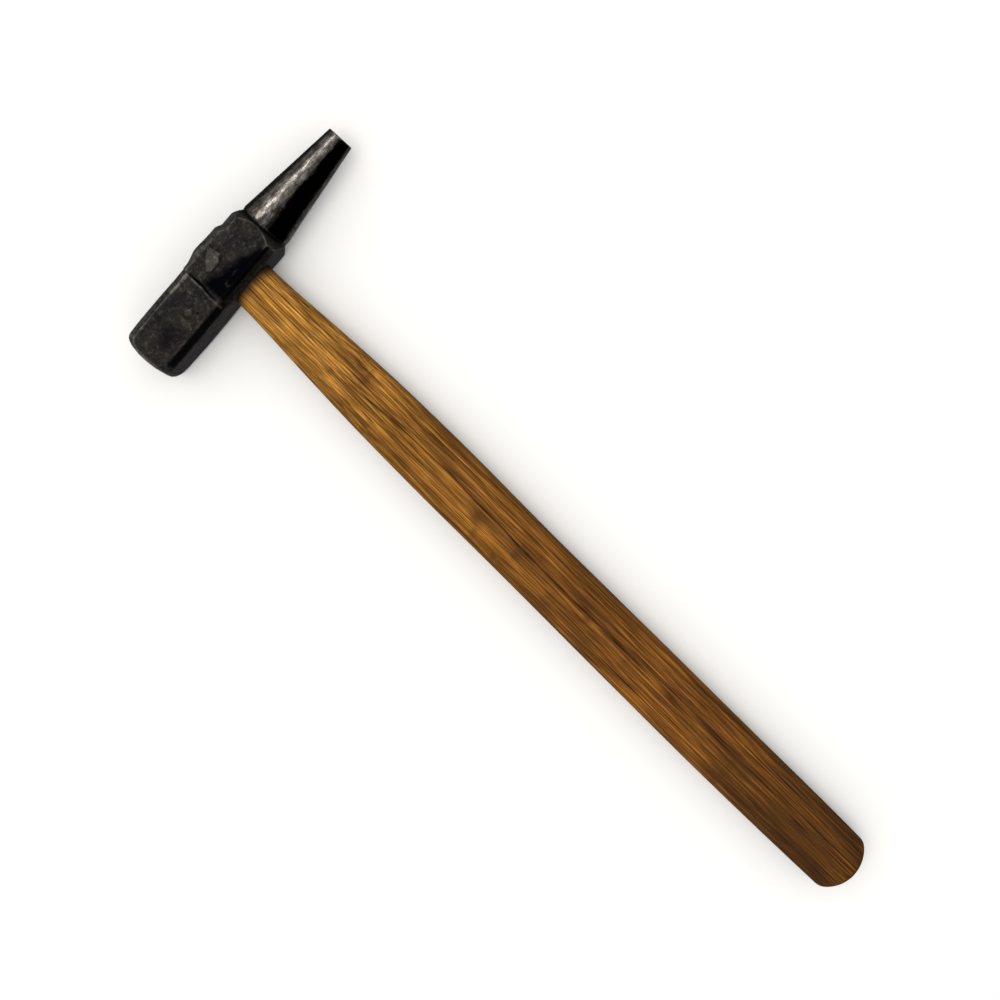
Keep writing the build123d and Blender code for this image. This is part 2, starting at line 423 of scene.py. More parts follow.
y_all = r_all * np.sin(angle)
z_all = r_all * np.cos(angle)
place = np.stack([x_all, y_all, z_all], axis=-1)

# Hammer marks and scale. Broad swells come from the forging blows, plates of scale stand a few
# hundredths of a millimetre proud, and pits are where scale has come off.
on_punch = ease(x_all, 20.0, 22.4)
blows = 0.10 * noise(place, 15.0, 1) + 0.03 * noise(place, 6.0, 2)
plates = 0.03 * ease(noise(place, (4.5, 3.4, 3.4), 3) + 0.5 * noise(place, 1.6, 4), 0.12, 0.2)
pits = -0.07 * ease(-noise(place, 1.5, 5), 0.45, 0.75) * ease(noise(place, 7.0, 6), -0.1, 0.3)
forged = blows + plates + pits
drawn = 0.08 * noise(place, (24.0, 7.0, 7.0), 7) + 0.035 * noise(place, (7.0, 2.8, 2.8), 8)
drawn = drawn + 0.012 * noise(place, (3.0, 1.1, 1.1), 9)
lift = forged * (1 - on_punch) + drawn * on_punch
upper = z_all > 0
flake_outline = [(0.0, 10.3), (0.8, 4.1), (-2.6, 1.7), (-7.4, 1.7), (-9.0, 3.4), (-5.4, 7.0)]
flake = plate(x_all, y_all, flake_outline, 0.5)
beside_flake = plate(x_all - 0.35, y_all + 0.35, flake_outline, 1.3)
thin_plate = patch(x_all - 12.8, y_all + 4.4, 1.7, 2.5, -12, 0.5)
blister = patch(x_all + 27.6, y_all + 2.2, 1.8, 1.8, 0, 1.4)
round_blister = patch(x_all + 27.9, y_all + 2.6, 2.7, 2.5, 0, 0.9)
ridge = patch(x_all + 20.6 - 0.10 * (y_all - 3.3) ** 2, y_all - 3.3, 0.3, 2.3, 0, 0.45)
crater = patch(x_all + 5.6, y_all + 7.5, 1.3, 0.9, 0, 0.8)
crater_lip = patch(x_all + 5.7, y_all + 7.3, 2.2, 1.4, 0, 0.5)
small_lip = patch(x_all + 0.9, y_all + 5.9 + 0.2 * (x_all + 0.9) ** 2, 1.5, 0.28, 0, 0.4)
small_pit = patch(x_all + 25.0, y_all + 5.6, 0.6, 0.5, 0, 0.5)
lift += upper * (0.34 * flake - 0.26 * np.clip(beside_flake - flake, 0, 1))
lift += upper * (0.10 * thin_plate + 0.22 * blister - 0.10 * np.clip(round_blister - blister, 0, 1))
lift += upper * (0.15 * ridge + 0.12 * (crater_lip - crater) - 0.30 * crater)
lift += upper * (0.14 * small_lip - 0.25 * small_pit)
for seed, (px, sign) in enumerate([(-44, 1), (-31, -1), (-38, -1), (3, -1), (9, 1), (-24, 1)]):
    turn_round = np.arctan2(sign * np.sin(2.4 * seed + 1), np.cos(1.7 * seed))
    away = (np.angle(np.exp(1j * (angle - turn_round - np.pi * 0.75)))) * 13
    mark = patch(x_all - px, away, 1.6 + 0.3 * seed, 1.1 + 0.2 * seed, 35 * seed, 0.8)
    lift += (0.1 if seed % 2 else -0.14) * mark * ~upper
step_line = step_x + 0.05 - 0.9 * ease(-y_all, -1.0, 6.0)
groove = patch(x_all - step_line, y_all - 1.3, 0.55, 8.2, 0, 0.5)
on_cheek = np.abs(z_all) > 10.5
lift -= 0.2 * groove * on_cheek
keep = np.concatenate([face_shares**2 + zeros, 1 + 0 * body_r, np.cos(rim_turn) + zeros, tip_zeros])
forged_off, drawn_off = 0.16, 0.02      # mm, sunk so that the marks stay within the head's size
lift = (lift - forged_off * (1 - on_punch) - drawn_off) * keep
r_all = r_all + lift
flats_r = (poll_half - drawn_off) / np.maximum(np.abs(np.cos(angle)), 1e-3)
r_all = np.minimum(r_all, flats_r)
x_dents = 0.12 * ease(noise(place, 4.0, 10), 0.0, 0.5) + 0.08 * ease(noise(place, 1.8, 16), 0.3, 0.6)
x_dents = x_dents * (1 - ease(x_all, face_x, face_x + 1.2))
x_all = x_all + x_dents
rings = (
    eye
    + x_all[..., None] * along
    + (r_all * np.sin(angle))[..., None] * across
    + (r_all * np.cos(angle))[..., None] * upwards
)
head = skin("forged_head", *closed_tube(rings))


def point_value(piece, name, values):
    """Stores one number per point, which the piece's material reads."""
    data = np.zeros(len(piece.data.vertices), np.float32)
    data[: values.size] = values.ravel()
    piece.data.attributes.new(name, "FLOAT", "POINT").data.foreach_set("value", data)


# The bright line on the poll's side of the step is wear and painted highlight, and the flare where the top
# chamfer widens near the eye is painted highlight; the struck face is bare steel.
step_edge = np.exp(-(((x_all - step_line + 0.9) / 0.28) ** 2)) * on_cheek * (y_all < 9.5)
flare = upper * patch(x_all + 21.5, y_all - 9.3, 6.5, 1.0, -3, 0.9)
struck_edge = 1 - ease(body_x, face_x + 0.5, face_x + 2.5)
struck = np.concatenate([1 + 0 * face_r, struck_edge, rim_zeros, 1 + tip_zeros])
# Black scale is left on the cheek's lower corner and in a patch on the poll; the cheek's darkening towards
# the handle and the black chamfers that face the handle are painted shade. The punch's black along the
# handle's side is a painted dark reflection.
scale_and_painted_shade = ease(-y_all - 0.26 * x_all - 2.3 + 1.4 * noise(place, 3.6, 17), -3.0, 3.0)
scale_and_painted_shade = scale_and_painted_shade * ease(x_all, step_x, step_x + 2) * (1 - ease(x_all, 16, 20))
painted_shade_chamfers = ease(-y_all, 9.6, 10.4) * ease(np.abs(z_all), 9.0, 9.8) * (1 - ease(np.abs(z_all), 12.2, 12.8))
painted_shade_chamfers = painted_shade_chamfers * (1 - 0.45 * ease(x_all, step_x, step_x + 2)) * (1 - ease(x_all, 13.0, 16.0))
scale_and_painted_shade = np.maximum.reduce([
    scale_and_painted_shade * (z_all > 11),
    0.55 * patch(x_all + 40.6, y_all + 2.4, 6.0, 3.6, 15, 4.0) * upper,
    0.9 * painted_shade_chamfers * ease(x_all, -54.0, -51.0),
])
# Painted dark reflection: a black band is painted along the handle's side of the punch, where the steel
# mirrors the dark side of the room.
from_top = np.degrees(np.arctan2(-y_all, z_all))
from_top = from_top + 5.0 * noise(place, (7.0, 1.6, 1.6), 14) + 3.0 * noise(place, 1.2, 15)
from_top = from_top - 5.0 * (1 - ease(x_all, 22.0, 32.0))
painted_dark_reflection = on_punch * ease(from_top, 15.0, 22.0) * (1 - ease(from_top, 58.0, 70.0))
painted_dark_reflection = painted_dark_reflection * (1 - ease(x_all, tip_plane - 0.5, tip_plane - 0.1))
# Painted light: the side face towards the lamp is lightened, and the edges on the handle's side are left dark
# as painted shade; the rest of the edge brightness is wear.
painted_light_side = 0.26 * ease(y_all, 9.8, 10.6) * ease(np.abs(z_all), 8.0, 9.0) * (1 - on_punch)
belly_side = ease(-y_all, 2.0, 7.0) * (0.5 + 0.45 * ease(x_all, step_x - 1, step_x + 1))
belly_side = belly_side * (1 - ease(x_all, 14.0, 16.5))
edge_all = edge_all * (1 - belly_side) * (0.55 + 0.45 * noise(place, 6.0, 12))
wear_and_painted_highlight = np.maximum(edge_all + 0.45 * step_edge + 0.6 * flare, painted_light_side)
point_value(head, "wear_and_painted_highlight", np.clip(wear_and_painted_highlight, 0, 1))
point_value(head, "punch", on_punch)
# Raised plates and the struck face are lighter, rubbed bare; the streak along the flake's edge towards the
# light is painted highlight.
flake_tone = 0.62 + 0.12 * noise(place, 1.6, 13) + 0.4 * patch(x_all + 6.2, y_all - 6.6, 0.5, 4.6, 60, 0.5)
raised = [flake_tone * flake, 0.3 * blister, 0.45 * ridge, 0.12 * thin_plate, 0.2 * small_lip]
raised = upper * np.maximum.reduce(raised)
raised = np.maximum(raised, upper * 0.22 * np.clip(crater_lip - crater, 0, 1) * ease(-x_all, 4.5, 7.0))
raised = np.maximum(raised, upper * 0.17 * patch(x_all - 7.5, y_all - 9.5, 7.0, 3.5, 0, 4.0))
point_value(head, "bare_and_painted_highlight", np.maximum(raised, struck))
# Soot and painted shade in the hollows: the ring beside the flake is a painted shadow line, and the step's
# groove and the shoulder's hollow are painted dark.
sunk = upper * np.maximum.reduce([beside_flake - flake, crater, 0.5 * (round_blister - blister), small_pit])
sunk = np.maximum.reduce([sunk, groove * on_cheek, np.exp(-(((x_all - punch_root - 1.4) / 1.3) ** 2))])
point_value(head, "soot_and_painted_shade", np.clip(sunk, 0, 1))
point_value(head, "scale_and_painted_shade", np.clip(scale_and_painted_shade, 0, 1))
point_value(head, "painted_dark_reflection", np.clip(painted_dark_reflection, 0, 1))

# The eye, drifted open when hot: its lower mouth is eased by a millimetre, its top one slightly.
mouth_levels = [-22.0, -12.75, -11.6, -10.6, 0.0, 13.4, 14.1, 15.2, 18.0]
mouth_grow = [1.0, 1.0, 0.55, 0.0, 0.0, 0.0, 0.12, 0.45, 0.45]
mouth = np.concatenate([eye_rings([level], grow) for level, grow in zip(mouth_levels, mouth_grow)])
cutter = skin("eye_cutter", *closed_tube(mouth + eye))
cut_away(head, cutter)
shade(head, 38)

# Forging leaves tool steel a skin of black oxide scale: dull, mottled dark grey, a little gritty,
# browner where it is thin. Edges, the struck face and the punch are rubbed to bright bare steel.
# Painted highlight and painted shade are mixed in below from the values stored on the head.
steel, tree, shader = new_material("tool_steel_forged_black_scale")
coords = add(tree, "TexCoord").outputs["Object"]
in_mm = add(tree, "Mapping", {"Vector": coords, "Scale": (1000, 1000, 1000)}).outputs[0]
# Clouds of scale 8 mm wide, mottling under 2 mm, and grit of 0.4 mm, drawn coarse so that it shows.
cloud, mottle, grit = (
    add(
        tree, "TexNoise", {"Vector": in_mm, "Scale": scale, "Detail": detail, "Roughness": roughness}
    ).outputs["Fac"]
    for scale, detail, roughness in ((0.13, 5.0, 0.6), (0.6, 5.0, 0.66), (2.4, 3.0, 0.6))
)
base = add(
    tree, "ValToRGB", {"Fac": cloud},
    stops=[
        (0.30, linear("302d30")), (0.45, linear("3a3637")),
        (0.56, linear("433f3b")), (0.72, linear("4e4943")),
    ],
).outputs[0]
gritty = add(tree, "Mix", {0: 0.28, 2: mottle, 3: grit}, data_type="FLOAT").outputs[0]
speck = add(
    tree, "ValToRGB", {"Fac": gritty},
    stops=[(0.38, (0.62, 0.62, 0.62, 1)), (0.5, (0.95, 0.95, 0.95, 1)), (0.62, (1.5, 1.48, 1.44, 1))],
).outputs[0]
colour = add(tree, "Mix", {0: 1.0, 6: base, 7: speck}, data_type="RGBA", blend_type="MULTIPLY").outputs[2]
rubbed_through = add(tree, "MapRange", {"Value": gritty, 1: 0.56, 2: 0.62, 4: 0.3}).outputs[0]
colour = add(tree, "Mix", {0: rubbed_through, 6: colour, 7: linear("7c766e")}, data_type="RGBA").outputs[2]
# Painted shade: the scale's near black also darkens the handle-facing chamfers and the cheek's side towards
# the handle.
scale_and_shade = add(tree, "Attribute", attribute_name="scale_and_painted_shade").outputs["Fac"]
colour = add(tree, "Mix", {0: scale_and_shade, 6: colour, 7: linear("0a0b11")}, data_type="RGBA").outputs[2]
# Wear on the edges, with painted highlight on the side towards the lamp and on the step and the flare.
wear_and_highlight = add(tree, "Attribute", attribute_name="wear_and_painted_highlight").outputs["Fac"]
worn_where = add(tree, "MapRange", {"Value": mottle, 1: 0.34, 2: 0.52}).outputs[0]
wear_and_highlight = add(tree, "Math", {0: wear_and_highlight, 1: worn_where}, operation="MULTIPLY").outputs[0]
colour = add(tree, "Mix", {0: wear_and_highlight, 6: colour, 7: linear("b5afa6")}, data_type="RGBA").outputs[2]
# Bare steel on raised plates and the struck face, with a painted highlight streak on the flake.
bare_and_highlight = add(tree, "Attribute", attribute_name="bare_and_painted_highlight").outputs["Fac"]
bare_and_highlight = add(tree, "Math", {0: bare_and_highlight, 1: 0.8}, operation="MULTIPLY").outputs[0]
scuffed = add(
    tree, "ValToRGB", {"Fac": gritty},
    stops=[
        (0.36, linear("4f4a44")), (0.47, linear("847e76")),
        (0.56, linear("96908a")), (0.66, linear("c4beb6")),
    ],
).outputs[0]
colour = add(tree, "Mix", {0: bare_and_highlight, 6: colour, 7: scuffed}, data_type="RGBA").outputs[2]
# The punch: rings of the turning tool 0.4 mm apart, and smears of scale drawn along it.
turned_coords = add(tree, "Mapping", {"Vector": in_mm, "Scale": (2.6, 0.3, 0.3)}).outputs[0]
turning = add(tree, "TexNoise", {"Vector": turned_coords, "Scale": 1.0, "Detail": 3.0}).outputs["Fac"]
punch = add(tree, "Attribute", attribute_name="punch").outputs["Fac"]
drawn_coords = add(tree, "Mapping", {"Vector": in_mm, "Scale": (0.28, 0.7, 0.7)}).outputs[0]
drawn_tone = add(
    tree, "TexNoise", {"Vector": drawn_coords, "Scale": 1.0, "Detail": 6.0, "Roughness": 0.65}
).outputs["Fac"]
rubbed = add(
    tree, "ValToRGB", {"Fac": drawn_tone},
    stops=[
        (0.34, linear("4e4842")), (0.46, linear("77706a")),
        (0.56, linear("a19a92")), (0.68, linear("c9c3bc")),
    ],
).outputs[0]
turned_tone = add(
    tree, "ValToRGB", {"Fac": turning}, stops=[(0.36, (0.6, 0.6, 0.6, 1)), (0.6, (1.15, 1.15, 1.15, 1))]
).outputs[0]
rubbed = add(
    tree, "Mix", {0: 0.6, 6: rubbed, 7: turned_tone}, data_type="RGBA", blend_type="MULTIPLY"
).outputs[2]
colour = add(tree, "Mix", {0: punch, 6: colour, 7: rubbed}, data_type="RGBA").outputs[2]
# Painted dark reflection: a black band along the punch's handle side.
black_side = add(tree, "Attribute", attribute_name="painted_dark_reflection").outputs["Fac"]
colour = add(tree, "Mix", {0: black_side, 6: colour, 7: linear("0c0b0b")}, data_type="RGBA").outputs[2]
# Soot, and painted shade in the hollows.
soot_and_painted_shade = add(tree, "Attribute", attribute_name="soot_and_painted_shade").outputs["Fac"]
colour = add(tree, "Mix", {0: soot_and_painted_shade, 6: colour, 7: linear("0b0b0c")}, data_type="RGBA").outputs[2]
tree.links.new(colour, shader.inputs["Base Color"])
rough = add(tree, "MapRange", {"Value": grit, 1: 0.3, 2: 0.7, 3: 0.36, 4: 0.52}).outputs[0]
rough_punch = add(tree, "MapRange", {"Value": mottle, 1: 0.35, 2: 0.65, 3: 0.23, 4: 0.14}).outputs[0]
rough = add(tree, "Mix", {0: punch, 2: rough, 3: rough_punch}, data_type="FLOAT").outputs[0]
tree.links.new(rough, shader.inputs["Roughness"])
shader.inputs["Metallic"].default_value = 1.0
flaky = add(tree, "MapRange", {"Value": mottle, 1: 0.49, 2: 0.53}, interpolation_type="SMOOTHSTEP").outputs[0]
height = add(tree, "Math", {0: flaky, 1: 0.5, 2: grit}, operation="MULTIPLY_ADD").outputs[0]
height = add(tree, "Math", {0: height, 1: mottle}, operation="ADD").outputs[0]
relief = add(tree, "MapRange", {"Value": punch, 3: 0.9, 4: 0.07}).outputs[0]
bump = add(tree, "Bump", {"Height": height, "Strength": relief, "Distance": 0.0003}).outputs[0]
tree.links.new(bump, shader.inputs["Normal"])
head.data.materials.clear()
head.data.materials.append(steel)
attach(head, "root")
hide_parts("hammer_head")

# ---------------------------------------------------------------------------------------------
# The handle: one split billet of ash, drawknifed to an oval, stained and oiled. It is slim at
# the head, full where the hand holds it, and darkened by hands towards its rounded butt. Its
# tenon fills the eye and is sawn flush with the head's top.
# ---------------------------------------------------------------------------------------------
free_length = 372.1             # mm, from the head's underside to the butt
stations = np.array([           # share of the free length, width, thickness, sideways drift
    (-0.02, 20.7, 15.4, -0.3),
    (0.036, 21.8, 15.7, -0.3),
    (0.108, 24.9, 16.6, -0.2),
    (0.202, 28.1, 18.4, -0.1),
    (0.296, 29.3, 19.7, -0.2),
    (0.462, 28.9, 20.2, -0.6),
    (0.637, 29.5, 20.8, -0.85),
    (0.784, 29.8, 21.2, -0.85),
    (0.964, 28.7, 20.6, -0.3),
    (1.02, 27.8, 20.0, -0.2),
])
butt_r = 17.6                   # mm, radius of the butt's rounding
butt_dressed = 0.5              # mm rasped off the butt
fullness = 2.25                 # power of the oval: 2 is an ellipse, more is squarer
tenon_below = 0.12              # mm, the sawn tenon under the head's top


def through(knots, values, at):
    """A smooth curve through values at knots: a cubic in each span whose slopes at its two ends
    are those of the line between the neighbouring knots."""
    slopes = np.gradient(values, knots)
    span = np.clip(np.searchsorted(knots, at) - 1, 0, len(knots) - 2)
    width = knots[span + 1] - knots[span]
    share = (at - knots[span]) / width
    rise = values[span + 1] - values[span]
    lean_start = slopes[span] * width - rise
    lean_end = rise - slopes[span + 1] * width
    bend = (lean_start * (1 - share) + lean_end * share) * share * (1 - share)
    return values[span] + rise * share + bend


underside = -crest
butt_y = underside - free_length + butt_dressed
arc = np.linspace(0.06, np.pi / 2, 24)
depths = np.concatenate([
    butt_y + butt_r * (1 - np.cos(arc)),
    np.arange(butt_y + butt_r + 1.3, underside - 8.0, 1.35),
    np.linspace(underside - 7.5, underside + 1.9, 17),
])
share = (underside - depths) / free_length
columns = 224
angle = np.linspace(0, 2 * np.pi, columns, endpoint=False)[None, :]
half_x, half_z, drift = (
    through(stations[:, 0], stations[:, i] / (1 if i == 3 else 2), share)[:, None] for i in (1, 2, 3)
)
oval_r = (np.abs(np.cos(angle)) / half_x) ** fullness + (np.abs(np.sin(angle)) / half_z) ** fullness
oval_r = oval_r ** (-1 / fullness)
into_butt = np.clip(butt_y + butt_r - depths, 0, butt_r)[:, None]
dome_r = np.sqrt(np.maximum(butt_r**2 - into_butt**2, 1e-4))
dome_r = np.where(into_butt > 0, dome_r, 200.0)     # past the rounding it never binds
grip_r = (oval_r**-40.0 + dome_r**-40.0) ** (-1 / 40)
place = np.stack([grip_r * np.cos(angle), depths[:, None] + 0 * angle, grip_r * np.sin(angle)], axis=-1)
shaved = 0.10 * noise(place, (9.0, 70.0, 9.0), 21) + 0.03 * noise(place, (2.6, 34.0, 2.6), 22)
free = ease(underside - depths, 0.0, 6.0)[:, None]
grip_r = grip_r + (shaved - 0.05) * free * np.minimum(1, grip_r / 6)
grip_x = drift + grip_r * np.cos(angle)
lean = across[0] / across[1]
grip_y = depths[:, None] - lean * grip_x * (1 - ease(underside - depths, 0.0, 9.0))[:, None]
grip_rings = np.stack([grip_x, grip_y, grip_r * np.sin(angle)], axis=-1)


def tenon_top(x):
    """Height of the sawn tenon: straight runs that follow the swelling around the eye, a little
    below it, and lean with the head."""
    runs = np.interp(x, swell_x, [crest, crest + swell, crest + swell, crest])
    return runs - tenon_below - lean * x


tenon_levels = np.concatenate([np.linspace(underside + 1.95, 0, 5), np.linspace(0, 14.12, 8)[1:]])
tenon_rings = eye_rings(tenon_levels, -0.02, columns)
tenon_rings[0, :, 1] = grip_rings[-1, :, 1]
tenon_rings[-1, :, 1] = tenon_top(tenon_rings[-1, :, 0])
end_rings = np.stack([tenon_rings[-1] * (s, 1, s) for s in (0.93, 0.7, 0.4, 0.12)])
end_rings[..., 1] = tenon_top(end_rings[..., 0])
handle = skin("ash_handle", *closed_tube(eye + np.concatenate([grip_rings, tenon_rings, end_rings])))
shade(handle, 40)
row_x, row_y = eye[0] + grip_x, eye[1] + grip_y
# Smudges of old oil on the upper side: x, y and half axes in mm, turn in degrees and strength.
smudge = sum(
    strength * patch(row_x - sx, row_y - sy, long, wide, turn, wide)
    for sx, sy, long, wide, turn, strength in [
        (-11.6, 30.0, 2.4, 3.2, 0, 0.8), (-17.5, 26.5, 3.2, 1.6, 15, 0.6), (-18.8, 13.5, 1.8, 1.5, 0, 0.7),
        (-9.0, 6.5, 4.0, 2.0, 0, 0.7), (-15.5, -17.0, 6.0, 3.5, 0, 0.45), (-16.5, -42.0, 8.0, 2.6, 0, 0.35),
        (-8.0, -35.0, 2.2, 2.2, 0, 0.7), (-7.6, -46.5, 2.0, 3.0, 0, 0.7), (-7.8, -60.0, 7.0, 1.6, 0, 0.4),
        (-8.5, -131.0, 4.0, 3.6, 0, 0.5), (-11.0, -120.0, 9.0, 3.0, 0, 0.3),
        (-15.0, -152.0, 12.0, 5.0, 5, 0.4),
        (-19.5, -125.0, 22.0, 1.8, 2, 0.6), (-10.5, 120.5, 1.6, 1.4, 0, 0.6), (-1.5, 107.0, 5.0, 1.2, 0, 0.6),
        (-19.0, 93.0, 6.0, 1.4, 0, 0.35), (-8.5, -172.0, 9.0, 4.0, 0, 0.3), (-17.0, -178.0, 7.0, 3.0, 0, 0.4),
    ]
)
point_value(handle, "smudge", np.clip(smudge, 0, 1) * (np.sin(angle) > -0.2))
# The butt's cut end: end grain, darker, which also paints the shade along the butt's rim.
cut_across = 1 - ease(depths[:, None] - butt_y + 0 * grip_x, 1.2, 4.6)
point_value(handle, "butt_end_grain_and_shade", cut_across)


def grain_line(route, width, strength):
    """A dark line of pores along the handle: a bell curve about a line through (y, x) points, which
    wanders a little and fades at both ends."""
    ends = np.array(route, float)[::-1]
    middle_x = np.interp(row_y, ends[:, 0], ends[:, 1])
    wander = 0.5 * noise(np.stack([0 * row_y, row_y, 0 * row_y + ends[0, 1]], axis=-1), 14.0, 31)
    fade = ease(row_y, ends[0, 0], ends[0, 0] + 12) * (1 - ease(row_y, ends[-1, 0] - 12, ends[-1, 0]))
    broken = 0.65 + 0.35 * noise(np.stack([row_x, row_y, 0 * row_y], axis=-1), (3.0, 9.0, 3.0), 32)
    return strength * fade * broken * np.exp(-(((row_x - middle_x - wander) / width) ** 2))


tone = -sum(
    grain_line(*line)
    for line in [
        ([(112, -8.4), (52, -4.9), (36, -5.9), (-10, -7.1), (-70, -7.1)], 0.5, 1.4),
        ([(104, -6.6), (60, -3.6), (36, -3.4)], 0.45, 1.1),
        ([(168, 0.2), (100, 0.9), (55, 1.4)], 0.45, 0.9),
        ([(150, -3.1), (70, -1.2)], 0.35, 0.4),
        ([(60, 4.3), (-65, 4.3)], 0.4, 0.6),
        ([(50, -17.0), (-80, -17.0)], 0.5, 0.5),
        ([(-55, -4.7), (-160, -4.9)], 0.4, 0.8),
        ([(-85, -12.3), (-165, -12.3)], 0.45, 0.6),
        ([(-75, 4.6), (-198, 4.4)], 0.5, 0.8),
        ([(40, -6.8), (-150, -6.6)], 2.6, 0.42),
        ([(120, -17.0), (20, -19.5)], 2.0, 0.25),
        ([(-110, -18.5), (-200, -16.5)], 3.2, 0.5),
    ]
)
tone = tone - sum(
    grain_line(*line)
    for line in [
        ([(50, -0.6), (-60, -0.4)], 2.0, -0.45),
        ([(-85, -1.2), (-200, -1.3)], 1.8, -0.5),
        ([(30, -12.5), (10, -12.8)], 2.2, -0.5),
        ([(-50, -13.0), (-80, -13.2)], 3.0, -0.4),
        ([(172, -9.0), (120, -9.5)], 3.4, -0.4),
    ]
)
point_value(handle, "grain_tone", np.clip(tone, -1, 1) * (np.sin(angle) > -0.1))

# Drawknifed ash, stained and oiled: the open pores take the stain and draw long dark lines, the
# dense wood between them stays golden, and the oil leaves a low sheen.
ash, tree, shader = new_material("ash_drawknifed_stained_oiled")
coords = add(tree, "TexCoord").outputs["Object"]
in_mm = add(tree, "Mapping", {"Vector": coords, "Scale": (1000, 1000, 1000)}).outputs[0]
# Growth rings: distance from the tree's heart, far to the poll's side, drifting slowly along.
# A few wide porous bands, 7 mm apart, and a finer set between them.
drift_coords = add(tree, "Mapping", {"Vector": in_mm, "Scale": (0.05, 0.006, 0.05)}).outputs[0]
wander = add(tree, "TexNoise", {"Vector": drift_coords, "Scale": 1.0, "Detail": 3.0}).outputs["Fac"]
from_heart = add(
    tree, "Mapping",
    {"Vector": in_mm, "Location": (117.5, 0.0, 20.0), "Rotation": (0.0, 0.0, 0.02), "Scale": (1, 0, 1)},
).outputs[0]
far = add(tree, "VectorMath", {0: from_heart}, operation="LENGTH").outputs["Value"]
far = add(tree, "Math", {0: wander, 1: 9.0, 2: far}, operation="MULTIPLY_ADD").outputs[0]
early = None
for spacing, strength in ((7.4, 1.0), (2.3, 0.45)):
    ring = add(tree, "Math", {0: far, 1: spacing}, operation="DIVIDE").outputs[0]
    ring = add(tree, "Math", {0: ring}, operation="FRACT").outputs[0]
    shade_of = [(0.0, 1.0), (0.10, 0.8), (0.3, 0.15), (0.9, 0.0), (1.0, 1.0)]
    ring_stops = [(at, (v * strength, v * strength, v * strength, 1)) for at, v in shade_of]
    ring = add(tree, "ValToRGB", {"Fac": ring}, stops=ring_stops).outputs[0]
    early = ring if early is None else add(tree, "Math", {0: early, 1: ring}, operation="MAXIMUM").outputs[0]
# Bundles of fibre 0.7 mm wide and 110 mm long, pores drawn 0.3 mm wide so that they show, and
# flecks as fine as the pores but 20 mm long.
fibre_coords = add(tree, "Mapping", {"Vector": in_mm, "Scale": (1.5, 0.009, 1.5)}).outputs[0]
fibre = add(
    tree, "TexNoise", {"Vector": fibre_coords, "Scale": 1.0, "Detail": 5.0, "Roughness": 0.68}
).outputs["Fac"]
pore_coords = add(tree, "Mapping", {"Vector": in_mm, "Scale": (3.0, 0.08, 3.0)}).outputs[0]
pore = add(
    tree, "TexNoise", {"Vector": pore_coords, "Scale": 1.0, "Detail": 3.0, "Roughness": 0.6}
).outputs["Fac"]
pore = add(tree, "MapRange", {"Value": pore, 1: 0.52, 2: 0.61}).outputs[0]
pore_share = add(tree, "MapRange", {"Value": early, 3: 0.45, 4: 1.0}).outputs[0]
pore = add(tree, "Math", {0: pore, 1: pore_share}, operation="MULTIPLY").outputs[0]
fleck_coords = add(tree, "Mapping", {"Vector": in_mm, "Scale": (2.8, 0.05, 2.8)}).outputs[0]
fleck = add(tree, "TexNoise", {"Vector": fleck_coords, "Scale": 1.0, "Detail": 2.0}).outputs["Fac"]
# Stain: golden by the head, darkened by hands towards the butt, with smudges.
along_y = add(tree, "SeparateXYZ", {"Vector": in_mm}).outputs["Y"]
smudge_coords = add(tree, "Mapping", {"Vector": in_mm, "Scale": (0.12, 0.045, 0.12)}).outputs[0]
cloudy = add(tree, "TexNoise", {"Vector": smudge_coords, "Scale": 1.0, "Detail": 1.0}).outputs["Fac"]
handled = add(tree, "MapRange", {"Value": along_y, 1: 160.0, 2: -200.0}).outputs[0]
stain = add(
    tree, "ValToRGB", {"Fac": handled},
    stops=[
        (0.0, linear("9a6b2c")), (0.03, linear("a6752f")), (0.10, linear("97682a")),
        (0.20, linear("8d5f22")), (0.33, linear("84561d")), (0.44, linear("80511a")),
        (0.50, linear("734815")), (0.66, linear("7b4c18")), (0.82, linear("694011")),
        (0.92, linear("4f2e09")),
    ],
).outputs[0]
cloudy_tone = add(
    tree, "ValToRGB", {"Fac": cloudy},
    stops=[(0.36, (0.52, 0.48, 0.42, 1)), (0.5, (1, 1, 1, 1)), (0.64, (1.4, 1.42, 1.46, 1))],
).outputs[0]
colour = add(
    tree, "Mix", {0: 0.5, 6: stain, 7: cloudy_tone}, data_type="RGBA", blend_type="MULTIPLY"
).outputs[2]
streak = add(
    tree, "ValToRGB", {"Fac": fibre},
    stops=[(0.36, (0.42, 0.37, 0.3, 1)), (0.5, (0.96, 0.96, 0.96, 1)), (0.62, (1.5, 1.53, 1.58, 1))],
).outputs[0]
colour = add(tree, "Mix", {0: 1.0, 6: colour, 7: streak}, data_type="RGBA", blend_type="MULTIPLY").outputs[2]
fleck_tone = add(
    tree, "ValToRGB", {"Fac": fleck}, stops=[(0.38, (0.4, 0.36, 0.3, 1)), (0.62, (1.6, 1.64, 1.68, 1))]
).outputs[0]
colour = add(
    tree, "Mix", {0: 1.0, 6: colour, 7: fleck_tone}, data_type="RGBA", blend_type="MULTIPLY"
).outputs[2]
ring_tone = add(tree, "Math", {0: early, 1: 0.4}, operation="MULTIPLY").outputs[0]
colour = add(tree, "Mix", {0: ring_tone, 6: colour, 7: linear("59370c")}, data_type="RGBA").outputs[2]
pore_tone = add(tree, "Math", {0: pore, 1: 0.5}, operation="MULTIPLY").outputs[0]
colour = add(tree, "Mix", {0: pore_tone, 6: colour, 7: linear("3c2009")}, data_type="RGBA").outputs[2]
grain_tone = add(tree, "Attribute", attribute_name="grain_tone").outputs["Fac"]
grain_share = add(tree, "MapRange", {"Value": grain_tone, 1: -1.0, 2: 1.0}).outputs[0]
